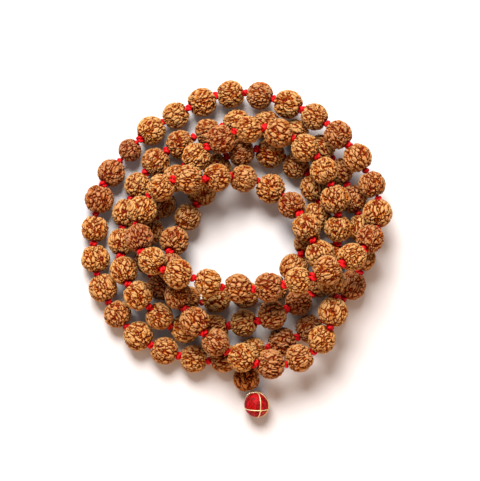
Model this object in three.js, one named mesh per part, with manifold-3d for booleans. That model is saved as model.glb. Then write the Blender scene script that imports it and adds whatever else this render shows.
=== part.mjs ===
// A mala: 108 wrinkled seed beads knotted one by one on a cord, laid down in a loose ring of
// five turns, and closed by a guru bead with a thread-wound ball bound in gold thread.
// Millimetres, +Z up, the beads rest on z = 0 and the pendant ball points towards -Y.
import * as THREE from "three";
import { mergeVertices } from "three/addons/utils/BufferGeometryUtils.js";
import Module from "manifold-3d";

const wasm = await Module();
wasm.setup();

// Beads and cord
const BEADS = 108;
const LOOSE_BEADS = 44; // each its own node, free to spin on the cord
const RUNS = 10; // the other beads, joined through their knots
const PITCH = 8.5; // knot to knot along the cord
const BEAD_RADIUS = 4;
const RADIUS_SPREAD = 0.17;
const SMALL_BEAD = { index: 35, radius: 3.3 };
const END_LENGTH = 0.89; // half a bead's length along its hole, in radii
const END_RADIUS = 0.47;
const SHOULDER_LENGTH = 0.33;
const SHOULDER_RADIUS = 0.985;
const MOST_HALF_LENGTH = 3.55;
const BORE_RADIUS = 0.9;
const CORD_RADIUS = 0.5;
const KNOT_RADIUS = 1;
const KNOT_HALF = 0.35;
const SIDES = 8;

// Pendant
const GURU = { centre: [1.8, -39.4, 3.9], radius: 3.75, half: 3.2 };
const LEAD_DROP = [-0.6, -0.8, -2.4]; // how the guru bead's cord falls between the two last beads
const GURU_LEAD = [[2.4, -35.5, 5.9], [0.4, -35.9, 4.3]]; // and goes on under them
const NECK = [3.24, -43, 3.49]; // the small knot between guru bead and ball
const NECK_RADIUS = 0.5;
const CLEARANCE = 0.25;
const BALL = { centre: [4.65, -46.7, 4], radius: 3.3 };
const GOLD_RING = 3.72;
const GOLD_THREAD = 0.18;
const UPRIGHT_TILT = 0.25;
const LEVEL_TILT = 0.41;

// How the string is laid: one point for every second bead, [x, y, z], as the turns were put down
const ROUTE = [
  [8, -36, 8], [23, -29.5, 4], [26.5, -13.5, 9], [18, 2, 9], [9.5, 14.5, 8],
  [-6, 17, 10], [-22.5, 13.5, 10], [-31.5, -0.5, 11], [-17.5, -10, 11], [-1, -17, 10],
  [16.5, -13.5, 12], [33, -6.5, 14], [39.5, 5.5, 4], [33, 21.5, 4], [20.5, 34, 4],
  [5, 39, 4], [-11, 37.5, 4], [-25.5, 29.5, 4], [-34.5, 18.5, 4], [-40.5, 3, 4],
  [-38, -14.5, 4], [-29.5, -27.5, 4], [-13.5, -34, 4], [3.5, -33, 4], [20.5, -26.5, 4],
  [34, -13, 4], [34, 3, 4], [31, 18, 4], [17, 31, 4], [-1, 34, 4],
  [-17.5, 26, 4], [-30, 13.5, 4], [-34, -3.5, 4], [-27, -17, 7], [-15.5, -26, 4],
  [2, -25, 4], [15.5, -19.5, 4], [26.5, -5.5, 4], [27, 11.5, 7], [18.5, 26.5, 10],
  [1.5, 32, 10], [-12.5, 22, 8], [-23, 8.5, 4], [-25.5, -7.5, 4], [-13, -18.5, 4],
  [3.5, -17.5, 4], [15, -10, 4], [21, 5.5, 4], [15, 19.5, 4], [1, 24.5, 4],
  [-11.5, 14.5, 4], [-20, -1, 4], [-17, -16.5, 10], [-7.5, -29.5, 10],
];

// How the string settles
const PASSES = 700;
const FREE_PASSES = 120; // the last passes only part the beads, with no pull and no weight
const HOLD = 0.1; // pull towards the route, in plan
const WEIGHT = 0.04; // fall per pass
const GAP = 0.35; // between beads that aren't neighbours
const NEAR = 18; // pairs further apart than this at the start never meet
const MOST_BEND = 0.6; // radians at one knot
const FLOOR_SINK = 0.96; // resting height of a joined bead, in radii: its crest is worn flat
const LOOSE_LIFT = 0.15; // a loose bead clears the floor, so that it spins freely

// Finishes
const SEED = new THREE.MeshStandardMaterial({ color: 0xb98248, roughness: 0.75, metalness: 0 });
const RED_CORD = new THREE.MeshStandardMaterial({ color: 0xc0121c, roughness: 0.8, metalness: 0 });
const RED_THREAD = new THREE.MeshStandardMaterial({ color: 0xbe1010, roughness: 0.6, metalness: 0 });
const GOLD = new THREE.MeshStandardMaterial({ color: 0xe3b56b, roughness: 0.35, metalness: 0.7 });

const UP = new THREE.Vector3(0, 0, 1);
const vector = (point) => new THREE.Vector3(...point);

function beadRadius(index) {
  if (index === SMALL_BEAD.index) return SMALL_BEAD.radius;
  return BEAD_RADIUS + RADIUS_SPREAD * Math.sin(2.4 * index + 1);
}

function halfLength(radius) {
  return Math.min(END_LENGTH * radius, MOST_HALF_LENGTH);
}

// The knots at the start: the route's curve passes bead 2n at point n, so a knot lies at every half step.
function layKnots() {
  const curve = new THREE.CatmullRomCurve3(ROUTE.map(vector), true, "catmullrom", 0.5);
  const perBead = 1 / BEADS;
  return Array.from({ length: BEADS }, (_, knot) => curve.getPoint(((knot - 0.5) * perBead + 1) % 1));
}

// Lets the laid string come to rest: links keep the pitch, knots keep their bend, beads keep apart.
function settle(knots) {
  const home = knots.map((knot) => knot.clone());
  const next = (i) => (i + 1) % BEADS;
  const centre = (i) => knots[i].clone().add(knots[next(i)]).multiplyScalar(0.5);
  const radii = knots.map((_, i) => beadRadius(i));
  const floor = radii.map((r, i) => (i < LOOSE_BEADS ? r + LOOSE_LIFT : r * FLOOR_SINK));
  const pairs = [];
  for (let i = 0; i < BEADS; i++)
    for (let j = i + 2; j < BEADS; j++)
      if (next(j) !== i && centre(i).distanceTo(centre(j)) < NEAR) pairs.push([i, j]);
  const pendant = [
    { at: vector(GURU.centre), radius: GURU.radius },
    { at: vector(GURU_LEAD[1]), radius: KNOT_RADIUS },
  ];
  const shift = (i, by) => {
    knots[i].add(by);
    knots[next(i)].add(by);
  };
  const part = (from, to, least) => {
    const line = to.clone().sub(from);
    const length = line.length();
    return length < least ? line.multiplyScalar((least - length) / length) : null;
  };
  for (let pass = 0; pass < PASSES; pass++) {
    if (pass < PASSES - FREE_PASSES)
      knots.forEach((knot, i) => {
        knot.x += (home[i].x - knot.x) * HOLD;
        knot.y += (home[i].y - knot.y) * HOLD;
        knot.z -= WEIGHT;
      });
    for (let i = 0; i < BEADS; i++) {
      const link = knots[next(i)].clone().sub(knots[i]);
      link.multiplyScalar((0.5 * (link.length() - PITCH)) / link.length());
      knots[i].add(link);
      knots[next(i)].sub(link);
    }
    for (let i = 0; i < BEADS; i++) {
      const push = part(knots[i], knots[next(next(i))], 2 * PITCH * Math.cos(MOST_BEND / 2));
      if (!push) continue;
      knots[i].addScaledVector(push, -0.5);
      knots[next(next(i))].addScaledVector(push, 0.5);
    }
    for (const [i, j] of pairs) {
      const push = part(centre(i), centre(j), radii[i] + radii[j] + GAP);
      if (!push) continue;
      shift(i, push.clone().multiplyScalar(-0.5));
      shift(j, push.multiplyScalar(0.5));
    }
    for (const { at, radius } of pendant)
      for (let i = 0; i < BEADS; i++) {
        const push = part(at, centre(i), radius + radii[i] + GAP);
        if (push) shift(i, push);
      }
    for (let i = 0; i < BEADS; i++) {
      const lack = floor[i] - centre(i).z;
      if (lack > 0) shift(i, new THREE.Vector3(0, 0, lack));
    }
  }
  return knots;
}

const knots = settle(layKnots());
const knotAt = (i) => knots[(i + BEADS) % BEADS];
const axisOf = (i) => knotAt(i + 1).clone().sub(knotAt(i)).normalize();
const centreOf = (i) => knotAt(i).clone().add(knotAt(i + 1)).multiplyScalar(0.5);

// A closed skin over rings of points, each { at, axis, radius }, with a flat end at both ends.
function skin(rings) {
  const points = [];
  for (const { at, axis, radius } of rings) {
    const side = axis.clone().cross(UP).normalize();
    const down = axis.clone().cross(side);
    for (let k = 0; k < SIDES; k++) {
      const angle = (2 * Math.PI * k) / SIDES;
      const out = side.clone().multiplyScalar(Math.cos(angle)).addScaledVector(down, Math.sin(angle));
      points.push(...at.clone().addScaledVector(out, radius).toArray());
    }
  }
  const faces = [];
  const last = (rings.length - 1) * SIDES;
  for (let k = 0; k < SIDES; k++) {
    const turn = (k + 1) % SIDES;
    for (let ring = 0; ring < last; ring += SIDES) {
      faces.push(ring + k, ring + turn, ring + SIDES + turn);
      faces.push(ring + k, ring + SIDES + turn, ring + SIDES + k);
    }
    if (k > 0 && turn > 0) {
      faces.push(0, turn, k);
      faces.push(last, last + k, last + turn);
    }
  }
  const geometry = new THREE.BufferGeometry();
  geometry.setAttribute("position", new THREE.Float32BufferAttribute(points, 3));
  geometry.setIndex(faces);
  return geometry;
}

function knotRings(index, radius = KNOT_RADIUS) {
  const before = axisOf(index - 1);
  const after = axisOf(index);
  return [
    { at: knotAt(index).clone().addScaledVector(before, -KNOT_HALF), axis: before, radius },
    { at: knotAt(index).clone().addScaledVector(after, KNOT_HALF), axis: after, radius },
  ];
}

// A plain cord between two knots, seen from a loose bead's bore.
function cordRings(index) {
  const axis = axisOf(index);
  const step = KNOT_HALF + 0.05;
  return [
    { at: knotAt(index).clone().addScaledVector(axis, step), axis, radius: CORD_RADIUS },
    { at: knotAt(index + 1).clone().addScaledVector(axis, -step), axis, radius: CORD_RADIUS },
  ];
}

function beadRings(index) {
  const axis = axisOf(index);
  const radius = beadRadius(index);
  const end = halfLength(radius);
  const shoulder = SHOULDER_LENGTH * radius;
  return [
    [-end, END_RADIUS], [-shoulder, SHOULDER_RADIUS], [shoulder, SHOULDER_RADIUS], [end, END_RADIUS],
  ].map(([along, share]) => ({
    at: centreOf(index).addScaledVector(axis, along), axis, radius: share * radius,
  }));
}

// A bored bead on the Y axis, for LatheGeometry: the outline closes on itself along the bore.
function boredBead(radius, half) {
  const shoulder = SHOULDER_LENGTH * radius;
  const outline = [
    [BORE_RADIUS, -half], [END_RADIUS * radius, -half], [SHOULDER_RADIUS * radius, -shoulder],
    [SHOULDER_RADIUS * radius, shoulder], [END_RADIUS * radius, half], [BORE_RADIUS, half],
    [BORE_RADIUS, -half],
  ];
  return new THREE.LatheGeometry(outline.map(([x, y]) => new THREE.Vector2(x, y)), SIDES);
}

function solid(geometry) {
  const bare = geometry.clone();
  bare.deleteAttribute("normal");
  bare.deleteAttribute("uv");
  const merged = mergeVertices(bare, 1e-4);
  const vertProperties = new Float32Array(merged.attributes.position.array);
  const triVerts = new Uint32Array(merged.index.array);
  return new wasm.Manifold(new wasm.Mesh({ numProp: 3, vertProperties, triVerts }));
}

function geometryOf(manifold) {
  const mesh = manifold.getMesh();
  const geometry = new THREE.BufferGeometry();
  geometry.setAttribute("position", new THREE.BufferAttribute(mesh.vertProperties, 3));
  geometry.setIndex(new THREE.BufferAttribute(mesh.triVerts, 1));
  return geometry;
}

function named(name, geometry, material) {
  const mesh = new THREE.Mesh(geometry, material);
  mesh.name = name;
  return mesh;
}

const twoDigits = (number) => String(number).padStart(2, "0");

// The free beads of the top and outer turns
function looseBead(index) {
  const radius = beadRadius(index);
  const bead = named("bead_" + twoDigits(index + 1), boredBead(radius, halfLength(radius)), SEED);
  bead.position.copy(centreOf(index));
  bead.quaternion.setFromUnitVectors(new THREE.Vector3(0, 1, 0), axisOf(index));
  return bead;
}

// The beads of the covered turns, joined in runs, with their undersides worn flat by the floor
const table = solid(new THREE.BoxGeometry(200, 200, 20).translate(0, 0, -10));

function beadRun(number) {
  const joined = BEADS - LOOSE_BEADS;
  const first = LOOSE_BEADS + Math.round((number * joined) / RUNS);
  const last = LOOSE_BEADS + Math.round(((number + 1) * joined) / RUNS) - 1;
  const rings = [];
  for (let i = first; i <= last; i++) {
    rings.push(...beadRings(i));
    if (i + 1 < BEADS) rings.push(...knotRings(i + 1));
  }
  const run = geometryOf(solid(skin(rings)).subtract(table));
  return named("bead_run_" + twoDigits(first + 1) + "_" + twoDigits(last + 1), run, SEED);
}

// The knotted cord through the loose beads, from the joining knot on
function knottedCord() {
  const rings = [...knotRings(0)];
  for (let i = 0; i < LOOSE_BEADS; i++) rings.push(...cordRings(i), ...knotRings(i + 1));
  return named("knotted_cord", skin(rings), RED_CORD);
}

// The guru bead, the cord through it, the neck knot and the wound ball
function pendant() {
  const group = new THREE.Group();
  const neck = vector(NECK);
  const gap = centreOf(0).sub(centreOf(BEADS - 1)).normalize();
  const drop = knotAt(0).clone().add(vector(LEAD_DROP).projectOnPlane(gap));
  const stops = [knotAt(0), drop, ...GURU_LEAD.map(vector), neck];
  const leads = stops.slice(1).map((stop, i) => stop.clone().sub(stops[i]).normalize());
  const through = leads[leads.length - 1];
  const cord = stops.slice(1, -1).map((at, i) => ({
    at, axis: leads[i].clone().add(leads[i + 1]).normalize(), radius: CORD_RADIUS,
  }));
  const start = stops[0].clone().addScaledVector(leads[0], KNOT_RADIUS + CORD_RADIUS);
  const end = neck.clone().addScaledVector(through, -NECK_RADIUS - CLEARANCE);
  cord.unshift({ at: start, axis: leads[0], radius: CORD_RADIUS });
  cord.push({ at: end, axis: through, radius: CORD_RADIUS });
  group.add(named("guru_cord", skin(cord), RED_CORD));

  const guru = named("guru_bead", boredBead(GURU.radius, GURU.half), SEED);
  guru.position.set(...GURU.centre);
  guru.quaternion.setFromUnitVectors(new THREE.Vector3(0, 1, 0), through);
  group.add(guru);

  const knob = named("neck_knot", new THREE.SphereGeometry(NECK_RADIUS, 8, 6), GOLD);
  knob.position.copy(neck);
  group.add(knob);

  const ball = new THREE.Group();
  ball.position.set(...BALL.centre);
  ball.add(named("wound_ball", new THREE.SphereGeometry(BALL.radius, 12, 8), RED_THREAD));
  const ring = () => new THREE.TorusGeometry(GOLD_RING, GOLD_THREAD, 4, 18);
  const upright = ring().rotateY(Math.PI / 2 + UPRIGHT_TILT);
  const level = ring().rotateX(LEVEL_TILT - Math.PI / 2);
  const thread = geometryOf(solid(upright).add(solid(level)));
  ball.add(named("gold_thread", thread, GOLD));
  group.add(ball);
  return group;
}

const mala = new THREE.Group();
for (let i = 0; i < LOOSE_BEADS; i++) mala.add(looseBead(i));
for (let number = 0; number < RUNS; number++) mala.add(beadRun(number));
mala.add(knottedCord(), pendant());

// The origin is under the middle of the laid string.
mala.updateMatrixWorld(true);
const middle = new THREE.Box3().setFromObject(mala, true).getCenter(new THREE.Vector3());
mala.position.set(-middle.x, -middle.y, 0);

const part = new THREE.Group();
part.add(mala);
export default part;
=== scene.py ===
# %% [markdown]
# # A mala of wrinkled seed beads
#
# A mala is a string for counting prayers: 108 beads with a knot between every two, so that each
# bead can be told apart by touch, and one more, the guru bead, where the count turns round. This
# one is strung with dried seeds on a red cord. Under its guru bead hangs a small ball, wound with
# red thread and bound with gold.
#
# The frame is loaded first. It holds every solid at its place, in metres, and each piece made
# below goes where its solid is.

# %% Load the frame
import math

import bmesh
import bpy
import numpy as np
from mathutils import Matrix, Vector


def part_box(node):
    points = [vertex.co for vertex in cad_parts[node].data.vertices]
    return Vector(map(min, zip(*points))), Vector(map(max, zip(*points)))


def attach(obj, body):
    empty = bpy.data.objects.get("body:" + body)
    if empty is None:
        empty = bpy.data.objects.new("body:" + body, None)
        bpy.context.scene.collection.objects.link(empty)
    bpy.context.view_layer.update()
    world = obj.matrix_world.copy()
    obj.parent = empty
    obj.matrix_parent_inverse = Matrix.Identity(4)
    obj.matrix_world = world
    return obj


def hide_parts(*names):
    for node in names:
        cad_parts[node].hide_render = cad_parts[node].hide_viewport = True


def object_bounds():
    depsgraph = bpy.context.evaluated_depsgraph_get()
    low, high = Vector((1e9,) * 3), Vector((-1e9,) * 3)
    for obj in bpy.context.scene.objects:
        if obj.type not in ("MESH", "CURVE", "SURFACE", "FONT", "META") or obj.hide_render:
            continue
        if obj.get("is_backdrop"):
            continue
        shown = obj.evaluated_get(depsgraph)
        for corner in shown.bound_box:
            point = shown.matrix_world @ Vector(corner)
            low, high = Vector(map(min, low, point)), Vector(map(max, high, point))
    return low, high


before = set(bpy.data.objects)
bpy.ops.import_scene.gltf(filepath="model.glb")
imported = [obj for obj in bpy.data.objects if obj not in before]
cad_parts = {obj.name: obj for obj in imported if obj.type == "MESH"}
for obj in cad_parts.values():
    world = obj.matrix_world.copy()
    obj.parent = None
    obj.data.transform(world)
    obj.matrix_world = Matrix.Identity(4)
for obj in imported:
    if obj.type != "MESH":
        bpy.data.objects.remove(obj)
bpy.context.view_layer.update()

MM = 0.001
SEED = 108
scene = bpy.context.scene

# %% [markdown]
# ## Camera
#
# The mala is seen from almost straight above, by somebody who bends over a table. A long lens
# far away keeps the near and the far beads the same size, so the ring stays round.

# %% Camera
VIEW_HEIGHT = math.radians(85)  # above the horizon
VIEW_DISTANCE = 0.6
VIEW_WIDTH = 0.1344  # what the picture takes in, across the middle of the mala
SENSOR = 36  # across the film, in millimetres

lens = bpy.data.cameras.new("camera")
lens.sensor_width = SENSOR
lens.lens = SENSOR * VIEW_DISTANCE / VIEW_WIDTH
camera = bpy.data.objects.new("camera", lens)
scene.collection.objects.link(camera)
scene.camera = camera
print("lens:", round(lens.lens), "mm")

# %% [markdown]
# ## How the string lies
#
# Nobody places 108 beads by hand. The route gives one point for every second bead, in the order
# in which the turns were put down, and the string then settles: a link keeps its length, a knot
# keeps a smallest bend, beads keep apart, and all of it sinks to the table. It is the same
# settling as the solids had, so both agree bead for bead. The one thing read from the frame is
# where the laid string's own origin went, from the box of the first bead.

# %% The route and the sizes, in millimetres
BEADS = 108
LOOSE_BEADS = 44  # the first ones, which turn on the cord
RUNS = 10  # pieces that hold the other beads
PITCH = 8.5  # from knot to knot
BEAD_RADIUS = 4
RADIUS_SPREAD = 0.17
RADIUS_RHYTHM = 2.4  # how fast the sizes go up and down from bead to bead
RADIUS_START = 1
SMALL_BEAD = 35
SMALL_RADIUS = 3.3
GURU_CENTRE = np.array([1.8, -39.4, 3.9])
GURU_RADIUS = 3.75
LEAD_DROP = np.array([-0.6, -0.8, -2.4])  # how the cord leaves the joining knot
LEAD_ASIDE = 0.02  # how far it keeps clear of the first bead, as a share of a link
GURU_LEAD = np.array([[2.4, -35.5, 5.9], [0.4, -35.9, 4.3]])
NECK = np.array([3.24, -43, 3.49])
BALL_CENTRE = np.array([4.65, -46.7, 4])
ROUTE = np.array([
    [8, -36, 8], [23, -29.5, 4], [26.5, -13.5, 9], [18, 2, 9], [9.5, 14.5, 8],
    [-6, 17, 10], [-22.5, 13.5, 10], [-31.5, -0.5, 11], [-17.5, -10, 11], [-1, -17, 10],
    [16.5, -13.5, 12], [33, -6.5, 14], [39.5, 5.5, 4], [33, 21.5, 4], [20.5, 34, 4],
    [5, 39, 4], [-11, 37.5, 4], [-25.5, 29.5, 4], [-34.5, 18.5, 4], [-40.5, 3, 4],
    [-38, -14.5, 4], [-29.5, -27.5, 4], [-13.5, -34, 4], [3.5, -33, 4], [20.5, -26.5, 4],
    [34, -13, 4], [34, 3, 4], [31, 18, 4], [17, 31, 4], [-1, 34, 4],
    [-17.5, 26, 4], [-30, 13.5, 4], [-34, -3.5, 4], [-27, -17, 7], [-15.5, -26, 4],
    [2, -25, 4], [15.5, -19.5, 4], [26.5, -5.5, 4], [27, 11.5, 7], [18.5, 26.5, 10],
    [1.5, 32, 10], [-12.5, 22, 8], [-23, 8.5, 4], [-25.5, -7.5, 4], [-13, -18.5, 4],
    [3.5, -17.5, 4], [15, -10, 4], [21, 5.5, 4], [15, 19.5, 4], [1, 24.5, 4],
    [-11.5, 14.5, 4], [-20, -1, 4], [-17, -16.5, 10], [-7.5, -29.5, 10],
])
print("route:", len(ROUTE), "points for", BEADS, "beads")


# %% The string before it settles
def bead_radius(index):
    if index == SMALL_BEAD:
        return SMALL_RADIUS
    return BEAD_RADIUS + RADIUS_SPREAD * math.sin(RADIUS_RHYTHM * index + RADIUS_START)


def route_point(along):
    """The closed curve through the route's points: along counts them."""
    part = along % 1
    a, b, c, d = (ROUTE[(math.floor(along) + step) % len(ROUTE)] for step in (-1, 0, 1, 2))
    start = (c - a) / 2
    end = (d - b) / 2
    square = 3 * (c - b) - 2 * start - end
    cube = 2 * (b - c) + start + end
    return b + start * part + square * part**2 + cube * part**3


laid = [list(route_point((knot - 0.5) % BEADS * len(ROUTE) / BEADS)) for knot in range(BEADS)]
radii = [bead_radius(index) for index in range(BEADS)]
print("laid knots:", len(laid), " first at", np.round(laid[0], 2))

# %% [markdown]
# Position based settling is the method that games use for ropes: each rule in turn moves only
# the points that break it, by just enough, and after some hundred rounds all rules hold at once.
# It needs no forces and no time step, so it can't blow up, and it gives the same result each run.

# %% Let it settle
PASSES = 700
FREE_PASSES = 120  # the last ones, in which nothing is held to the route
HOLD = 0.1  # share of the way back to the route in one pass
WEIGHT = 0.04  # sinking in one pass
GAP = 0.35  # between the skins of two beads
NEAR = 18  # beads that start further apart never meet
MOST_BEND = 0.6  # of the string at one knot, in radians
FLOOR_SINK = 0.96  # height of a covered bead's middle over the table, in radii
LOOSE_LIFT = 0.15  # of a loose bead's lowest crest over the table
KNOT_RADIUS = 1


def middle(a, b):
    return [(a[axis] + b[axis]) * 0.5 for axis in range(3)]


def way(a, b):
    line = [b[0] - a[0], b[1] - a[1], b[2] - a[2]]
    return line, math.sqrt(line[0] * line[0] + line[1] * line[1] + line[2] * line[2])


def push(points, line, share):
    for point in points:
        point[0] += line[0] * share
        point[1] += line[1] * share
        point[2] += line[2] * share


def settle(knots):
    home = [knot[:] for knot in knots]
    links = [(knots[i], knots[(i + 1) % BEADS]) for i in range(BEADS)]
    bends = [(knots[i], knots[(i + 2) % BEADS]) for i in range(BEADS)]
    floor = [r + LOOSE_LIFT if i < LOOSE_BEADS else r * FLOOR_SINK for i, r in enumerate(radii)]
    least_bend = 2 * PITCH * math.cos(MOST_BEND / 2)
    pairs = [
        (i, j, radii[i] + radii[j] + GAP)
        for i in range(BEADS)
        for j in range(i + 2, BEADS)
        if (j + 1) % BEADS != i and way(middle(*links[i]), middle(*links[j]))[1] < NEAR
    ]
    pendant = [(GURU_CENTRE, GURU_RADIUS), (GURU_LEAD[1], KNOT_RADIUS)]
    for turn in range(PASSES):
        if turn < PASSES - FREE_PASSES:
            for knot, start in zip(knots, home):
                knot[0] += (start[0] - knot[0]) * HOLD
                knot[1] += (start[1] - knot[1]) * HOLD
                knot[2] -= WEIGHT
        for a, b in links:
            line, length = way(a, b)
            push([a], line, 0.5 * (length - PITCH) / length)
            push([b], line, -0.5 * (length - PITCH) / length)
        for a, b in bends:
            line, length = way(a, b)
            if length < least_bend:
                push([a], line, -0.5 * (least_bend - length) / length)
                push([b], line, 0.5 * (least_bend - length) / length)
        for i, j, least in pairs:
            line, length = way(middle(*links[i]), middle(*links[j]))
            if length < least:
                push(links[i], line, -0.5 * (least - length) / length)
                push(links[j], line, 0.5 * (least - length) / length)
        for at, size in pendant:
            for i in range(BEADS):
                line, length = way(at, middle(*links[i]))
                least = size + radii[i] + GAP
                if length < least:
                    push(links[i], line, (least - length) / length)
        for i in range(BEADS):
            lack = floor[i] - middle(*links[i])[2]
            if lack > 0:
                push(links[i], [0, 0, 1], lack)
    return np.array(knots)


settled = settle(laid)
print("settled: knots", len(settled), " highest", round(settled[:, 2].max(), 2), "mm")

# %% Move it to the frame's origin
low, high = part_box("bead_01")
shift = np.array((low + high) / 2) / MM - (settled[0] + settled[1]) / 2
knots = settled + shift
centres = (knots + np.roll(knots, -1, axis=0)) / 2
axes = np.roll(knots, -1, axis=0) - knots
axes /= np.linalg.norm(axes, axis=1)[:, None]
worst = 0
for index in range(LOOSE_BEADS):
    low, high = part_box(f"bead_{index + 1:02d}")
    off = np.array((low + high) / 2) / MM - centres[index]
    worst = max(worst, np.linalg.norm(off))
print("shift", np.round(shift, 3), " worst loose bead off its solid by", round(worst, 4), "mm")


def placed(point):
    return Vector((np.array(point) + shift) * MM)


# %% Aim the camera
AIM = [0, -1, 6]
target = placed(AIM)
back = Vector((0, -math.cos(VIEW_HEIGHT), math.sin(VIEW_HEIGHT)))
camera.location = target + back * VIEW_DISTANCE
camera.rotation_euler = back.to_track_quat("Z", "Y").to_euler()
print("camera at", [round(value, 3) for value in camera.location])

# %% [markdown]
# ## A small language for node trees
#
# Both geometry and materials are node trees. A wire stands for a socket's output, and arithmetic
# on wires adds Math nodes, so a formula reads as a formula. Every other node comes from one
# method, which is given the node's type, its settings and the values or wires of its sockets.


# %% Wires and trees
class Wire:
    """A node's output that plain arithmetic works on."""

    def __init__(self, bench, socket):
        self.bench = bench
        self.socket = socket

    def maths(self, operation, *others):
        sockets = dict(enumerate((self, *others)))
        return self.bench.node("ShaderNodeMath", {"operation": operation}, sockets)

    def __add__(self, other):
        return self.maths("ADD", other)

    def __sub__(self, other):
        return self.maths("SUBTRACT", other)

    def __mul__(self, other):
        return self.maths("MULTIPLY", other)

    def __truediv__(self, other):
        return self.maths("DIVIDE", other)

    def __rsub__(self, other):
        return self * -1 + other

    __radd__ = __add__
    __rmul__ = __mul__

    def between(self, low, high):
        """0 at low, 1 at high, and a soft step from one to the other."""
        ranges = {"Value": self, "From Min": low, "From Max": high}
        return self.bench.node("ShaderNodeMapRange", {"interpolation_type": "SMOOTHSTEP"}, ranges)


class Bench:
    """A node tree under construction."""

    def __init__(self, tree):
        self.tree = tree

    def feed(self, socket, value):
        """Gives a socket a plain value, one wire, or a list of wires that it joins."""
        if isinstance(value, list):
            for wire in value:
                self.feed(socket, wire)
        elif isinstance(value, Wire):
            self.tree.links.new(value.socket, socket)
        else:
            socket.default_value = value

    def node(self, kind, settings=None, sockets=None, out=0):
        """Makes a node and returns the wire of its output, or one wire for each name in a tuple."""
        made = self.tree.nodes.new(kind)
        for name, value in (settings or {}).items():
            if name == "stops":
                self.set_stops(made.color_ramp, value)
            else:
                setattr(made, name, value)
        for key, value in (sockets or {}).items():
            self.feed(self.pick(made.inputs, key), value)
        if isinstance(out, tuple):
            return [Wire(self, self.pick(made.outputs, key)) for key in out]
        return Wire(self, self.pick(made.outputs, out) if made.outputs else None)

    @staticmethod
    def pick(sockets, key):
        if isinstance(key, int):
            return [socket for socket in sockets if socket.enabled][key]
        return next(socket for socket in sockets if socket.enabled and socket.name == key)

    @staticmethod
    def set_stops(ramp, stops):
        while len(ramp.elements) < len(stops):
            ramp.elements.new(1)
        for element, (place, colour) in zip(ramp.elements, stops):
            element.position = place
            element.color = (*colour, 1)

    def vector(self, operation, *values, out=0):
        settings = {"operation": operation}
        return self.node("ShaderNodeVectorMath", settings, dict(enumerate(values)), out)

    def noise(self, place, scale, detail=0.0, out=0):
        sockets = {"Vector": place, "Scale": scale, "Detail": detail}
        return self.node("ShaderNodeTexNoise", None, sockets, out)

    def named(self, kind, name):
        """Reads an attribute in a geometry tree."""
        return self.node("GeometryNodeInputNamedAttribute", {"data_type": kind}, {"Name": name})

    def note(self, geometry, kind, name, value):
        """Writes an attribute on the points of a geometry."""
        settings = {"data_type": kind, "domain": "POINT"}
        sockets = {"Geometry": geometry, "Name": name, "Value": value}
        return self.node("GeometryNodeStoreNamedAttribute", settings, sockets)

    def chance(self, low, high, seed):
        """A random number for each point."""
        sockets = {"Min": low, "Max": high, "Seed": seed}
        return self.node("FunctionNodeRandomValue", {"data_type": "FLOAT"}, sockets)

    def stand(self, axis):
        """The rotation that stands a model's Z along an axis."""
        return self.node("FunctionNodeAlignRotationToVector", {"axis": "Z"}, {"Vector": axis})

    def model(self, thing):
        """The geometry of another object."""
        return self.node("GeometryNodeObjectInfo", None, {"Object": thing}, "Geometry")


print("benches and wires are ready")


# %% [markdown]
# A geometry tree's named inputs are its sizes. `growing_tree` makes an empty one, and `grow`
# runs one on a mesh of points, bakes the result into a plain mesh and throws the modifier away.


# %% Geometry trees
def growing_tree(name, inputs):
    tree = bpy.data.node_groups.new(name, "GeometryNodeTree")
    tree.interface.new_socket(name="Geometry", in_out="INPUT", socket_type="NodeSocketGeometry")
    tree.interface.new_socket(name="Geometry", in_out="OUTPUT", socket_type="NodeSocketGeometry")
    for label, kind in inputs.items():
        tree.interface.new_socket(name=label, in_out="INPUT", socket_type="NodeSocket" + kind)
    bench = Bench(tree)
    group = tree.nodes.new("NodeGroupInput")
    inputs = {socket.name: Wire(bench, socket) for socket in group.outputs if socket.name}
    return tree, bench, inputs


def finish_tree(bench, geometry, material):
    whole = bench.node("GeometryNodeRealizeInstances", None, {"Geometry": geometry})
    clad = bench.node("GeometryNodeSetMaterial", None, {"Geometry": whole, "Material": material})
    end = bench.tree.nodes.new("NodeGroupOutput")
    bench.feed(end.inputs["Geometry"], clad)


def grow(name, tree, points, values):
    holder = bpy.data.objects.new(name, points)
    scene.collection.objects.link(holder)
    modifier = holder.modifiers.new("growth", "NODES")
    modifier.node_group = tree
    for socket in tree.interface.items_tree:
        if socket.in_out == "INPUT" and socket.name in values:
            modifier[socket.identifier] = values[socket.name]
    grown = holder.evaluated_get(bpy.context.evaluated_depsgraph_get())
    mesh = bpy.data.meshes.new_from_object(grown)
    holder.modifiers.remove(modifier)
    holder.data = mesh
    mesh.name = name
    return holder


def point_mesh(name, places, **facts):
    """A mesh of single points, each with its facts as attributes."""
    mesh = bpy.data.meshes.new(name)
    mesh.from_pydata([tuple(place) for place in places], [], [])
    for label, values in facts.items():
        kind, field = ("FLOAT_VECTOR", "vector") if np.ndim(values) == 2 else ("FLOAT", "value")
        attribute = mesh.attributes.new(label, kind, "POINT")
        attribute.data.foreach_set(field, np.array(values, np.float32).ravel())
    return mesh


def closed_surface(name, rings):
    """A mesh over rings of points that closes on itself both ways, with its faces outward."""
    count, around = len(rings), len(rings[0])
    faces = []
    for ring in range(count):
        here = ring * around
        there = (ring + 1) % count * around
        for k in range(around):
            after = (k + 1) % around
            faces.append((here + k, here + after, there + after, there + k))
    mesh = bpy.data.meshes.new(name)
    mesh.from_pydata([tuple(point) for ring in rings for point in ring], [], faces)
    shape = bmesh.new()
    shape.from_mesh(mesh)
    bmesh.ops.recalc_face_normals(shape, faces=shape.faces)
    if shape.calc_volume(signed=True) < 0:
        bmesh.ops.reverse_faces(shape, faces=shape.faces)
    shape.to_mesh(mesh)
    shape.free()
    return mesh


print("trees can be grown")

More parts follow.
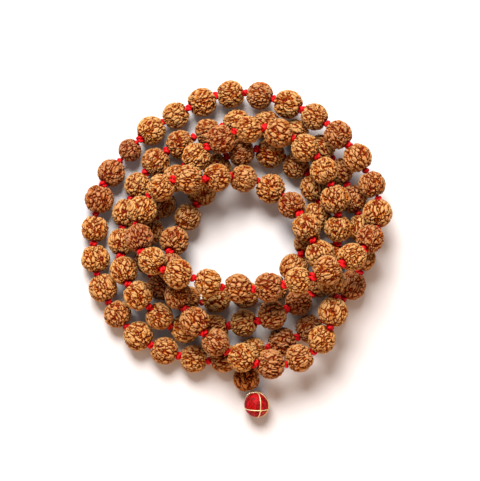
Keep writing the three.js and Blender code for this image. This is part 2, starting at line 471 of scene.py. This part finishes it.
# %% [markdown]
# ## Wrinkles
#
# The wrinkles of this seed are short, round-backed worms that lie against each other, with dark
# creases between them. Cells that grow until they meet give just that: the distance to a cell's
# edge is nought in the crease and swells towards the middle. Bending space with a slow noise
# first pulls the round cells into worms. Longer valleys wind between groups of them, wherever a
# second slow noise passes through its middle value, and a finer noise makes some worms higher
# than others. The formula is written once. The geometry tree pushes the bead's surface in by it,
# and the finish colours the creases by it, so the two always agree.

# %% One formula for shape and colour
WORM_SCALE = 0.8
WORM_SHOULDER = 0.17  # how far from the crease a worm's back is flat
WORM_BEND = 2.1
BEND_SCALE = 0.75
VALLEY_SCALE = 0.8
VALLEY_WALLS = (-0.01, 0.032)  # where a valley's side starts and ends
HEIGHT_SCALE = 3.2
HEIGHT_SPREAD = 0.4


def worms(bench, cell):
    """How high the surface stands at a place in the field of cells: 0 to about 1."""
    slow = bench.noise(cell, BEND_SCALE, 1.0, "Color")
    bent = bench.vector("ADD", cell, bench.vector("SCALE", slow, WORM_BEND))
    settings = {"feature": "DISTANCE_TO_EDGE"}
    sockets = {"Vector": bent, "Scale": WORM_SCALE}
    edge = bench.node("ShaderNodeTexVoronoi", settings, sockets, "Distance")
    valley = (bench.noise(cell, VALLEY_SCALE) - 0.5).maths("ABSOLUTE")
    relief = edge.between(0.0, WORM_SHOULDER).maths("MINIMUM", valley.between(*VALLEY_WALLS))
    height = 1 - HEIGHT_SPREAD / 2 + bench.noise(cell, HEIGHT_SCALE, 2.0) * HEIGHT_SPREAD
    return relief * height


print("worms bend by", WORM_BEND, "cells")

# %% [markdown]
# ## Finishes
#
# The dried seed is the colour of a nutshell: nearly black red down in the wrinkles, ochre on their
# flanks, and a pale, pinkish tan on the crests, which hands and other beads rub. The black red in the
# wrinkles is partly painted shade, and the pale tan on the crests is partly painted highlight.
# So the colour follows the height of the wrinkles, and an attribute of each bead makes it a
# little darker, redder or paler than the next.


# %% Seed finish
SEED_SHEEN = 0.1
SEED_ROUGHNESS = 0.85
CREST_POLISH = 0.2  # how much less rough the crests are
SEED_BUMP = 0.0003
SEED_BUMP_STRENGTH = 0.8
GRAIN_SCALE = 2600
GRAIN_SHARE = 0.2
GRAIN_BUMP = 0.15
PATCH_SCALE = 420
PATCH_SHARE = 0.3


def finish(name):
    material = bpy.data.materials.new(name)
    material.use_nodes = True
    material.node_tree.nodes.clear()
    return material, Bench(material.node_tree)


def surface(bench, sockets):
    shader = bench.node("ShaderNodeBsdfPrincipled", None, sockets)
    bench.node("ShaderNodeOutputMaterial", None, {"Surface": shader})


def read(bench, attribute, out="Fac"):
    return bench.node("ShaderNodeAttribute", {"attribute_name": attribute}, None, out)


def mixed(bench, kind, share, first, second):
    settings = {"data_type": "RGBA", "blend_type": kind}
    sockets = {"Factor": share, "A": first, "B": second}
    return bench.node("ShaderNodeMix", settings, sockets, "Result")


def bumped(bench, height, distance, strength):
    sockets = {"Height": height, "Distance": distance, "Strength": strength}
    return bench.node("ShaderNodeBump", None, sockets)


def seed_finish(name, stops, golden, worn):
    material, bench = finish(name)
    # The share read here is smaller in the furrows and round the holes, so the ramp paints those places
    # darker: painted shade.
    relief = worms(bench, read(bench, "cell", "Vector")) * read(bench, "open")
    place = bench.node("ShaderNodeTexCoord", None, None, "Object")
    grain = bench.noise(place, GRAIN_SCALE, 3.0)
    patch = bench.noise(place, PATCH_SCALE, 1.0)
    height = relief + (grain - 0.5) * GRAIN_SHARE + (patch - 0.5) * PATCH_SHARE
    # The ramp paints the creases dark, partly as painted shade, and the crests pale, partly as painted
    # highlight.
    shade = bench.node("ShaderNodeValToRGB", {"stops": stops}, {"Fac": height}, "Color")
    wash = mixed(bench, "MIX", read(bench, "tone"), (*golden, 1), (*worn, 1))
    surface(bench, {
        "Base Color": mixed(bench, "MULTIPLY", 1.0, shade, wash),
        "Roughness": SEED_ROUGHNESS - relief * CREST_POLISH,
        "Specular IOR Level": SEED_SHEEN,
        "Normal": bumped(bench, relief + grain * GRAIN_BUMP, SEED_BUMP, SEED_BUMP_STRENGTH),
    })
    return material


# %% Two seed colours, from the bottom of a crease to the top of a crest
# In both ramps the dark low stops are partly the seed's own dark red and partly painted shade in the
# creases, and the pale top stop is partly wear and partly painted highlight on the crests.
SEED_STOPS = [
    (0.0, (0.08, 0.002, 0.0)),
    (0.14, (0.19, 0.01, 0.001)),
    (0.34, (0.32, 0.062, 0.003)),
    (0.66, (0.44, 0.158, 0.022)),
    (1.0, (0.52, 0.305, 0.14)),
]
GURU_STOPS = [
    (0.0, (0.05, 0.001, 0.0)),
    (0.3, (0.18, 0.009, 0.001)),
    (0.6, (0.32, 0.07, 0.006)),
    (1.0, (0.46, 0.175, 0.045)),
]
GOLDEN = (1, 0.93, 0.74)
WORN = (0.72, 0.52, 0.48)
GURU_GOLDEN = (0.9, 0.9, 0.8)
GURU_WORN = (0.8, 0.7, 0.65)
seed_wood = seed_finish("dried seed", SEED_STOPS, GOLDEN, WORN)
guru_wood = seed_finish("dark seed", GURU_STOPS, GURU_GOLDEN, GURU_WORN)
print("seed finishes:", seed_wood.name, "and", guru_wood.name)

# %% [markdown]
# The cord and the thread are dyed silk or a good imitation of it. Their fibres run in a screw, which
# shows as fine slanting lines: the finish paints each ply lighter on its back and darker in the groove
# beside it, as painted light and painted shade. They shine softly along the strand. Where many strands
# lie side by side, an attribute gives each its own share of light and dark.


# %% Thread finishes
THREAD_SHEEN = 0.15
THREAD_BUMP = 0.00008
THREAD_BUMP_STRENGTH = 0.5
PLY_SHARE = 0.45  # how much of its light a strand gets from its plies
FIBRE_SHARE = 0.6
SHADE_SHARE = 0.8
DARK_TO_LIGHT = (-0.1, 0.85)  # the shares at which a strand is darkest and lightest
FIBRE_ROUGHNESS = 0.15


def thread_finish(name, dark, light, fibre, roughness, metal=0.0):
    material, bench = finish(name)
    place = bench.node("ShaderNodeTexCoord", None, None, "Object")
    fibres = bench.noise(place, fibre, 4.0)
    # The plies are painted lighter on their backs and darker between them: painted light and painted
    # shade. The same ply pattern also makes the bump.
    ply = (read(bench, "twist") * (2 * math.pi)).maths("SINE") * 0.5 + 0.5
    shade = read(bench, "shade") * SHADE_SHARE
    share = (ply * PLY_SHARE + fibres * FIBRE_SHARE - shade).between(*DARK_TO_LIGHT)
    surface(bench, {
        "Base Color": mixed(bench, "MIX", share, (*dark, 1), (*light, 1)),
        "Roughness": fibres * FIBRE_ROUGHNESS + roughness,
        "Metallic": metal,
        "Specular IOR Level": THREAD_SHEEN,
        "Normal": bumped(bench, ply + fibres * FIBRE_SHARE, THREAD_BUMP, THREAD_BUMP_STRENGTH),
    })
    return material


red_silk = thread_finish("red silk cord", (0.26, 0.001, 0.002), (0.68, 0.004, 0.007), 3000, 0.45)
red_thread = thread_finish("red winding thread", (0.16, 0.0, 0.001), (0.7, 0.003, 0.006), 4000, 0.4)
gold = thread_finish("gold thread", (0.45, 0.24, 0.07), (0.95, 0.72, 0.42), 5000, 0.3, 0.5)
brown = thread_finish("brown thread", (0.07, 0.02, 0.008), (0.4, 0.2, 0.08), 5000, 0.55)
print("thread finishes:", red_silk.name, red_thread.name, gold.name, brown.name)

# %% [markdown]
# ## The cord
#
# One cord runs through everything. It starts at the joining knot above the guru bead, passes
# through all 108 beads in their order and comes back to the same knot, so its length is the
# pitch times the number of beads. A curve with a round bevel is all it needs, because little
# more than its knots is ever seen.

# %% Cord
CORD_DIAMETER = 1.0


def thread_curve(name, strands, diameter, material):
    """A round thread along each strand, smooth through its points."""
    curve = bpy.data.curves.new(name, "CURVE")
    curve.dimensions = "3D"
    curve.bevel_depth = diameter / 2
    curve.bevel_resolution = 2
    curve.resolution_u = 3
    curve.use_fill_caps = True
    for points in strands:
        spline = curve.splines.new("BEZIER")
        spline.bezier_points.add(len(points) - 1)
        for bezier, point in zip(spline.bezier_points, points):
            bezier.co = point
            bezier.handle_left_type = "AUTO"
            bezier.handle_right_type = "AUTO"
    curve.materials.append(material)
    piece = bpy.data.objects.new(name, curve)
    scene.collection.objects.link(piece)
    return piece


threaded = []
for knot, centre in zip(knots, centres):
    threaded += [Vector(knot * MM), Vector(centre * MM)]
threaded.append(Vector(knots[0] * MM))
cord = thread_curve("mala_cord", [threaded], CORD_DIAMETER * MM, red_silk)
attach(cord, "string")
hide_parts("knotted_cord")
print("cord:", BEADS * PITCH, "mm long, through", BEADS, "beads")

# %% [markdown]
# ## Knots
#
# Each knot is a plain overhand knot, pulled tight until it is a lump a little wider than the
# bead's hole. Its line is the trefoil, the simplest curve that is knotted, pressed flat along
# the cord. A tree sets one on every place between two beads, along the cord, each turned and
# sized by chance.

# %% One knot
KNOT_STEPS = 30
KNOT_SIDES = 6
KNOT_SPREAD = 0.27
KNOT_FLAT = 0.36
KNOT_THREAD = 0.42
KNOT_TWISTS = 9
KNOT_SIZES = (0.88, 1.15)
NEARLY_UP = Vector((0.02, 0.03, 1))  # tilted a little, so that no line of thread runs along it


def trefoil(angle):
    x = math.sin(angle) + 2 * math.sin(2 * angle)
    y = math.cos(angle) - 2 * math.cos(2 * angle)
    return Vector((x * KNOT_SPREAD, y * KNOT_SPREAD, -math.sin(3 * angle) * KNOT_FLAT))


def tube_rings(points, radius, sides):
    """Rings of points round a closed line, each square to it."""
    rings = []
    count = len(points)
    for step, point in enumerate(points):
        along = (points[(step + 1) % count] - points[step - 1]).normalized()
        side = along.cross(NEARLY_UP).normalized()
        up = side.cross(along)
        angles = [2 * math.pi * k / sides for k in range(sides)]
        rings.append([point + (side * math.cos(a) + up * math.sin(a)) * radius for a in angles])
    return rings


def thread_model(name, line, radius, sides, twists):
    """Thread along a closed line, with its plies noted for the finish."""
    steps = len(line)
    mesh = closed_surface(name, tube_rings(line, radius, sides))
    turns = [twists * step / steps + side / sides for step in range(steps) for side in range(sides)]
    mesh.attributes.new("twist", "FLOAT", "POINT").data.foreach_set("value", turns)
    return bpy.data.objects.new(name, mesh)


line = [trefoil(2 * math.pi * step / KNOT_STEPS) for step in range(KNOT_STEPS)]
knot_model = thread_model("one knot", line, KNOT_THREAD, KNOT_SIDES, KNOT_TWISTS)
print("one knot:", len(knot_model.data.polygons), "faces")

# %% A knot on every place
tree, bench, group = growing_tree("Knots along a cord", {
    "Knot": "Object", "Scale": "Float", "Seed": "Int", "Material": "Material",
})
roll = bench.node("FunctionNodeAxisAngleToRotation", None, {
    "Axis": (0, 0, 1), "Angle": bench.chance(0.0, 2 * math.pi, group["Seed"]),
})
turned = bench.node("FunctionNodeRotateRotation", {"rotation_space": "LOCAL"}, {
    "Rotation": bench.stand(bench.named("FLOAT_VECTOR", "axis")), "Rotate By": roll,
})
knots_set = bench.node("GeometryNodeInstanceOnPoints", None, {
    "Points": group["Geometry"], "Instance": bench.model(group["Knot"]), "Rotation": turned,
    "Scale": bench.chance(*KNOT_SIZES, group["Seed"]) * group["Scale"],
})
smooth = bench.node("GeometryNodeSetShadeSmooth", None, {"Geometry": knots_set})
finish_tree(bench, smooth, group["Material"])
knot_tree = tree

knot_axes = axes + np.roll(axes, 1, axis=0)
knot_points = point_mesh("knot points", knots * MM, axis=knot_axes)
cord_knots = grow("cord_knots", knot_tree, knot_points, {
    "Knot": knot_model, "Scale": MM, "Seed": SEED, "Material": red_silk,
})
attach(cord_knots, "string")
print("knots:", BEADS, "of them,", len(cord_knots.data.polygons), "faces")

# %% [markdown]
# ## Seed beads
#
# A seed bead starts as a smooth blank: a ball with its two ends cut off and a hole drilled
# through. The blank is turned like a bowl on a lathe, one outline swung round the hole. All the
# character comes after that, and it has to be different on every bead.

# %% The blank, one unit in radius
AROUND = 128
CROWN_RINGS = 46
LIP_RINGS = 4
CUT = 0.888  # how far along the hole the ball is cut off, in radii
BORE = 0.21
LIP_DEPTH = 0.1

cut_angle = math.asin(CUT)
mouth = math.cos(cut_angle)
outline = []
for step in range(CROWN_RINGS):
    angle = cut_angle * (2 * step / (CROWN_RINGS - 1) - 1)
    outline.append((math.cos(angle), math.sin(angle)))
for step in range(1, LIP_RINGS + 1):
    share = step / LIP_RINGS
    outline.append((mouth + (BORE - mouth) * share, CUT - LIP_DEPTH * share**2))
for step in range(LIP_RINGS, 0, -1):
    share = step / LIP_RINGS
    outline.append((mouth + (BORE - mouth) * share, -CUT + LIP_DEPTH * share**2))

blank_rings = []
for across, along in outline:
    angles = [2 * math.pi * k / AROUND for k in range(AROUND)]
    blank_rings.append([(across * math.cos(a), across * math.sin(a), along) for a in angles])
blank = bpy.data.objects.new("seed blank", closed_surface("seed blank", blank_rings))
print("seed blank:", len(blank.data.polygons), "faces,", len(outline), "rings")

# %% [markdown]
# The tree sets a blank on every point it is given and wrinkles it. Each bead starts at its own
# place in the endless field of cells, so no two are alike. A few longer furrows run from hole to
# hole, where the nut would split, and round the holes the wrinkles fade into a smooth crown.

# %% The wrinkling tree
WORM_STRETCH = 0.5  # how often worms follow each other along the hole, against round it
FURROWS = 2.5  # half the number of furrows
FURROW_WIDTH = 0.22
FURROW_SHADE = 0.45
CROWN = (0.24, 0.55)  # where the smooth crown round a hole starts and ends, in radii
CROWN_SHADE = 0.7
SWELL_SCALE = 0.45
SWELL_BEND = 2.2  # how far the bead's swelling bends its furrows
SWELL_DEPTH = 0.09
FIELD = (90, 90, 90)  # the part of the field of cells that beads start in

tree, bench, group = growing_tree("Wrinkled seeds", {
    "Blank": "Object", "Wrinkles per radius": "Float", "Depth": "Float", "Furrow depth": "Float",
    "Seed": "Int", "Material": "Material",
})
here = bench.node("GeometryNodeInputPosition")
model = bench.note(bench.model(group["Blank"]), "FLOAT_VECTOR", "local", here)
start = bench.node("FunctionNodeRandomValue", {"data_type": "FLOAT_VECTOR"}, {
    "Min": (0, 0, 0), "Max": FIELD, "ID": bench.named("FLOAT", "number"), "Seed": group["Seed"],
})
points = bench.note(group["Geometry"], "FLOAT_VECTOR", "start", start)
radius = bench.named("FLOAT", "radius")
beads = bench.node("GeometryNodeInstanceOnPoints", None, {
    "Points": points, "Instance": model, "Scale": radius,
    "Rotation": bench.stand(bench.named("FLOAT_VECTOR", "axis")),
})
beads = bench.node("GeometryNodeRealizeInstances", None, {"Geometry": beads})

local = bench.named("FLOAT_VECTOR", "local")
often = group["Wrinkles per radius"]
often = bench.node("ShaderNodeCombineXYZ", None, {"X": often, "Y": often, "Z": often * WORM_STRETCH})
cell = bench.vector("MULTIPLY", local, often)
cell = bench.vector("ADD", cell, bench.named("FLOAT_VECTOR", "start"))
east, north = bench.node("ShaderNodeSeparateXYZ", None, {"Vector": local}, ("X", "Y"))
swell = bench.noise(cell, SWELL_SCALE)
furrow = north.maths("ARCTAN2", east) * FURROWS + swell * SWELL_BEND
furrow = furrow.maths("SINE").maths("ABSOLUTE").between(0.0, FURROW_WIDTH)
crown = bench.vector("LENGTH", bench.vector("MULTIPLY", local, (1, 1, 0)), out="Value")
crown = crown.between(*CROWN)

beads = bench.note(beads, "FLOAT_VECTOR", "cell", cell)
# This share is 1 on most of the bead and smaller in the furrows and round the holes, where the finish
# paints the seed darker by it: painted shade.
unshaded_share = (furrow * FURROW_SHADE + (1 - FURROW_SHADE)) * (crown * CROWN_SHADE + (1 - CROWN_SHADE))
beads = bench.note(beads, "FLOAT", "open", unshaded_share)
sink = (1 - worms(bench, bench.named("FLOAT_VECTOR", "cell"))) * group["Depth"]
sink = sink + (1 - furrow) * group["Furrow depth"] + (swell - 0.5) * SWELL_DEPTH
outward = bench.node("GeometryNodeInputNormal")
offset = bench.vector("SCALE", outward, sink * crown * radius * -1)
beads = bench.node("GeometryNodeSetPosition", None, {"Geometry": beads, "Offset": offset})
beads = bench.node("GeometryNodeSetShadeSmooth", None, {"Geometry": beads})
finish_tree(bench, beads, group["Material"])
seed_tree = tree
print("wrinkling tree:", len(seed_tree.nodes), "nodes")

# %% [markdown]
# The first beads are free to turn on the cord, and each is a piece of its own. The beads of the
# covered turns are grown in the same way, but they stay together in the runs that their solids
# make, because they rest on the table as one.

# %% All 108 beads
FEW_WORN = 1.8  # the higher, the fewer beads are worn pale
random = np.random.default_rng(SEED)
tones = random.random(BEADS) ** FEW_WORN
tones[SMALL_BEAD] = 1
values = {
    "Blank": blank, "Wrinkles per radius": 4.1, "Depth": 0.15, "Furrow depth": 0.05,
    "Seed": SEED, "Material": seed_wood,
}


def seeds(name, indices, body, node):
    facts = {
        "axis": axes[indices], "number": np.array(indices, float), "tone": tones[indices],
        "radius": np.array(radii)[indices] * MM,
    }
    piece = grow(name, seed_tree, point_mesh(name, centres[indices] * MM, **facts), values)
    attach(piece, body)
    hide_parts(node)
    return piece


triangles = 0
for index in range(LOOSE_BEADS):
    number = f"{index + 1:02d}"
    piece = seeds("seed_" + number, [index], "bead_" + number, "bead_" + number)
    triangles += 2 * len(piece.data.polygons)
joined = BEADS - LOOSE_BEADS
for run in range(RUNS):
    first = LOOSE_BEADS + math.floor(run * joined / RUNS + 0.5)
    last = LOOSE_BEADS + math.floor((run + 1) * joined / RUNS + 0.5) - 1
    label = f"{first + 1:02d}_{last + 1:02d}"
    piece = seeds("seeds_" + label, list(range(first, last + 1)), "string", "bead_run_" + label)
    triangles += 2 * len(piece.data.polygons)
print("beads:", BEADS, "with", triangles, "triangles")

# %% [markdown]
# ## Guru bead
#
# The guru bead is a smaller, darker seed with deeper pits. Its cord comes down from the joining
# knot and passes through it to the neck of the ball.

# %% Guru bead and its cord
GURU_TONE = 0.4
through = NECK - GURU_LEAD[1]
through /= np.linalg.norm(through)
guru_points = point_mesh("guru point", [placed(GURU_CENTRE)], axis=[through], number=[BEADS],
                         tone=[GURU_TONE], radius=[GURU_RADIUS * MM])
guru = grow("guru_seed", seed_tree, guru_points, {
    **values, "Wrinkles per radius": 3.6, "Depth": 0.16, "Furrow depth": 0.1, "Material": guru_wood,
})
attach(guru, "guru")
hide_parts("guru_bead")

gap = centres[0] - centres[-1]
drop = LEAD_DROP - gap * ((LEAD_DROP @ gap) / (gap @ gap) + LEAD_ASIDE)
lead = [Vector(knots[0] * MM), Vector((knots[0] + drop) * MM)]
lead += [placed(point) for point in GURU_LEAD]
lead += [placed(GURU_CENTRE), placed(NECK)]
guru_cord = thread_curve("guru_lead", [lead], CORD_DIAMETER * MM, red_silk)
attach(guru_cord, "guru_lead")
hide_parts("guru_cord")
print("guru bead:", 2 * len(guru.data.polygons), "triangles")

# %% [markdown]
# ## The wound ball
#
# The ball is a core with red thread wound over it, round after round, until nothing of the core
# shows. One round is a circle of thread. Most rounds run about the same slanting way, as a hand
# winds them, and the rest cross them to close the two ends.


# %% Ball of thread
BALL_RADIUS = 3.2
WINDINGS = 90
WINDING_STEPS = 40
WINDING_SIDES = 5
WINDING_THREAD = 0.17
WINDING_TWISTS = 26
WINDING_SIZES = (0.975, 1.03)
WINDING_LEAN = (1.25, 0.0, 0.75)  # which way the axis of the rounds points
STRAY = 1.45  # the most that a round's axis turns away from the others, in radians
LEAST_STRAY = 0.35  # the least, as a share of that, before it is cubed


def ring_model(name, radius, thread, steps, sides, twists, wobble=0.0):
    """A closed ring of thread in the XY plane."""
    line = []
    for step in range(steps):
        a = 2 * math.pi * step / steps
        out = radius + wobble * math.sin(5 * a + 1)
        line.append(Vector((out * math.cos(a), out * math.sin(a), wobble * math.sin(3 * a))))
    return thread_model(name, line, thread, sides, twists)


tree, bench, group = growing_tree("Thread wound on a ball", {
    "Round": "Object", "Rounds": "Int", "Core radius": "Float", "Lean": "Rotation",
    "Centre": "Vector", "Seed": "Int", "Material": "Material",
})
seed = group["Seed"]
places = bench.node("GeometryNodePoints", None, {"Count": group["Rounds"]})
places = bench.note(places, "FLOAT", "shade", bench.chance(0.0, 1.0, seed + 1))
stray = bench.chance(LEAST_STRAY, 1.0, seed + 2)
spin = bench.node("ShaderNodeCombineXYZ", None, {
    "X": stray * stray * stray * STRAY, "Z": bench.chance(0.0, 2 * math.pi, seed + 3),
})
rounds = bench.node("GeometryNodeInstanceOnPoints", None, {
    "Points": places, "Instance": bench.model(group["Round"]), "Rotation": spin,
    "Scale": bench.chance(*WINDING_SIZES, seed + 4),
})
core = {"Radius": group["Core radius"], "Subdivisions": 4}
core = bench.node("GeometryNodeMeshIcoSphere", None, core)
ball = bench.node("GeometryNodeJoinGeometry", None, {"Geometry": [rounds, core]})
ball = bench.node("GeometryNodeTransform", None, {
    "Geometry": ball, "Rotation": group["Lean"], "Translation": group["Centre"],
})
ball = bench.node("GeometryNodeSetShadeSmooth", None, {"Geometry": ball})
finish_tree(bench, ball, group["Material"])

one_round = ring_model("one round", BALL_RADIUS * MM, WINDING_THREAD * MM,
                       WINDING_STEPS, WINDING_SIDES, WINDING_TWISTS)
wound = grow("ball_windings", tree, point_mesh("ball", [(0, 0, 0)]), {
    "Round": one_round, "Rounds": WINDINGS, "Core radius": BALL_RADIUS * MM,
    "Lean": WINDING_LEAN, "Centre": placed(BALL_CENTRE), "Seed": SEED, "Material": red_thread,
})
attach(wound, "pendant")
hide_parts("wound_ball")
print("ball:", WINDINGS, "rounds,", len(wound.data.polygons), "faces")

# %% [markdown]
# Gold thread binds the ball: one round upright, one level and a little below the middle, and one
# that follows the ball's edge. A small tree sets a ring on every point, facing along the point's
# axis. It makes the binding here and the winding of the neck after it.

# %% A tree for rings
tree, bench, group = growing_tree("Rings of thread", {"Ring": "Object", "Material": "Material"})
rings = bench.node("GeometryNodeInstanceOnPoints", None, {
    "Points": group["Geometry"], "Instance": bench.model(group["Ring"]),
    "Rotation": bench.stand(bench.named("FLOAT_VECTOR", "axis")), "Scale": bench.named("FLOAT", "size"),
})
rings = bench.node("GeometryNodeSetShadeSmooth", None, {"Geometry": rings})
finish_tree(bench, rings, group["Material"])
ring_tree = tree
print("ring tree:", len(ring_tree.nodes), "nodes")

# %% Gold binding
GOLD_RADIUS = 3.5
GOLD_THREAD = 0.15
GOLD_STEPS = 72
GOLD_SIDES = 6
GOLD_TWISTS = 40
GOLD_WOBBLE = 0.008  # in radii of the round
LEVEL_DROP = 0.28  # how far below the middle the level round lies, in radii
LEVEL_SIZE = math.sqrt(1 - LEVEL_DROP**2)
ball_middle = Vector(BALL_CENTRE)
upright = Vector((0.95, 0.04, -0.31)).normalized()
level = Vector((0.03, 0.97, 0.23)).normalized()
slanting = Vector((-0.31, -0.28, 0.91)).normalized()
level_middle = ball_middle - level * LEVEL_DROP * GOLD_RADIUS
binding_points = point_mesh(
    "binding",
    [placed(ball_middle), placed(level_middle), placed(ball_middle)],
    axis=[upright, level, slanting],
    size=np.array([1, LEVEL_SIZE, 1]) * GOLD_RADIUS * MM,
)
gold_round = ring_model("gold round", 1, GOLD_THREAD / GOLD_RADIUS,
                        GOLD_STEPS, GOLD_SIDES, GOLD_TWISTS, GOLD_WOBBLE)
binding = grow("gold_binding", ring_tree, binding_points, {"Ring": gold_round, "Material": gold})
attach(binding, "pendant")
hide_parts("gold_thread")
print("gold binding:", len(binding.data.polygons), "faces")

# %% The knot where the binding crosses
CROSSING_KNOT = 0.32
CROSSING_RISE = 0.1
out = level.cross(upright).normalized()
out *= math.copysign(1, out.z)
crossing = ball_middle + (out - level * LEVEL_DROP).normalized() * (GOLD_RADIUS + CROSSING_RISE)
crossing_points = point_mesh("crossing", [placed(crossing)], axis=[upright + level])
crossing_knot = grow("crossing_knot", knot_tree, crossing_points, {
    "Knot": knot_model, "Scale": CROSSING_KNOT * MM, "Seed": SEED, "Material": gold,
})
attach(crossing_knot, "pendant")
print("crossing knot:", len(crossing_knot.data.polygons), "faces")

# %% [markdown]
# At the neck a few turns of gold hold the ball's threads together. The loose ends of a brown
# thread lie on the ball below them in a small tuft, and one gold end lies there too.

# %% Neck
NECK_THREAD = 0.14
NECK_SIZES = [0.55, 0.62, 0.56]
NECK_STEPS = [-0.35, -0.15, 0.05]  # along the cord
NECK_LEANS = [(0.1, 0, 0.1), (0, 0.2, -0.15), (-0.2, 0.1, 0)]
NECK_ROUND_STEPS = 24
NECK_ROUND_SIDES = 6
NECK_ROUND_TWISTS = 8
neck_places = [placed(NECK + through * step) for step in NECK_STEPS]
neck_axes = [through + np.array(lean) for lean in NECK_LEANS]
neck_points = point_mesh("neck", neck_places, axis=neck_axes, size=np.array(NECK_SIZES) * MM)
neck_round = ring_model("neck round", 1, NECK_THREAD / NECK_SIZES[0],
                        NECK_ROUND_STEPS, NECK_ROUND_SIDES, NECK_ROUND_TWISTS)
neck = grow("neck_winding", ring_tree, neck_points, {"Ring": neck_round, "Material": gold})
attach(neck, "neck")
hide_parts("neck_knot")
print("neck:", len(neck.data.polygons), "faces")

# %% Loose ends of thread
BROWN_THREAD = 0.2
BROWN_ENDS = [
    [(3.65, -43.45, 4.1), (4.3, -43.2, 4.5), (5, -43.3, 4.7), (5.6, -43.75, 5.5)],
    [(3.85, -43.45, 3.8), (4.6, -43.05, 3.9), (5.4, -43.15, 4.2), (6.1, -43.6, 4.5)],
    [(3.45, -43.5, 4.3), (3.9, -43.35, 4.8), (4.5, -43.4, 5.1), (4.7, -43.75, 6)],
    [(3.1, -43.5, 4.3), (2.6, -43.6, 4.7), (2.2, -43.95, 5), (2.1, -44.6, 5.4)],
]
GOLD_END = [
    (1.9, -44.1, 4.9), (2.7, -43.6, 4.9), (3.6, -43.45, 4.9), (4.5, -43.4, 5), (5.1, -43.7, 5.3),
]


def laid_ends(name, ends, diameter, material):
    """Loose thread that lies on the ball and moves with it."""
    strands = [[placed(point) for point in end] for end in ends]
    piece = thread_curve(name, strands, diameter * MM, material)
    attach(piece, "pendant")
    print(name + ":", len(ends), "strands")


laid_ends("neck_ends", BROWN_ENDS, BROWN_THREAD, brown)
laid_ends("neck_loop", [GOLD_END], 2 * GOLD_THREAD, gold)

# %% [markdown]
# ## Floor and light
#
# A white table under a wide window. The window is a large soft lamp behind the mala's far edge,
# so the shadows fall short and soft towards the viewer. A warm wall, lit by it, glows faintly on
# the near side, and the sky fills the rest.

# %% Table
FLOOR_SIZE = 4
FLOOR_COLOUR = (0.7, 0.68, 0.69, 1)
floor_material, bench = finish("white table")
surface(bench, {"Base Color": FLOOR_COLOUR, "Roughness": 0.8})
floor_mesh = bpy.data.meshes.new("floor")
half = FLOOR_SIZE / 2
corners = [(-half, -half, 0), (half, -half, 0), (half, half, 0), (-half, half, 0)]
floor_mesh.from_pydata(corners, [], [(0, 1, 2, 3)])
floor_mesh.materials.append(floor_material)
floor = bpy.data.objects.new("floor", floor_mesh)
scene.collection.objects.link(floor)
floor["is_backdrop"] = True
print("table:", FLOOR_SIZE, "m wide")


# %% Lamps and sky
WINDOW_PLACE = (-0.13, 0.55, 0.7)
WINDOW_SIZE = 0.55
WINDOW_POWER = 18
WINDOW_COLOUR = (1, 0.97, 0.94)
WALL_PLACE = (0.1, -0.75, 0.3)
WALL_SIZE = 0.6
WALL_POWER = 4
WALL_COLOUR = (1, 0.48, 0.12)
SKY_COLOUR = (0.96, 0.97, 1, 1)
SKY_STRENGTH = 0.32


def lamp(name, place, size, power, colour):
    light = bpy.data.lights.new(name, "AREA")
    light.shape = "DISK"
    light.size = size
    light.energy = power
    light.color = colour
    holder = bpy.data.objects.new(name, light)
    holder.location = place
    holder.rotation_euler = Vector(place).to_track_quat("Z", "Y").to_euler()
    scene.collection.objects.link(holder)


lamp("window", WINDOW_PLACE, WINDOW_SIZE, WINDOW_POWER, WINDOW_COLOUR)
lamp("lit wall", WALL_PLACE, WALL_SIZE, WALL_POWER, WALL_COLOUR)
world = bpy.data.worlds.new("sky")
world.use_nodes = True
sky = world.node_tree.nodes["Background"]
sky.inputs["Color"].default_value = SKY_COLOUR
sky.inputs["Strength"].default_value = SKY_STRENGTH
scene.world = world
scene.view_settings.view_transform = "Standard"
print("stage is set")

# %% [markdown]
# ## Size
#
# The size of the finished mala is taken from the boxes of its shown pieces.

# %% Size
low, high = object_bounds()
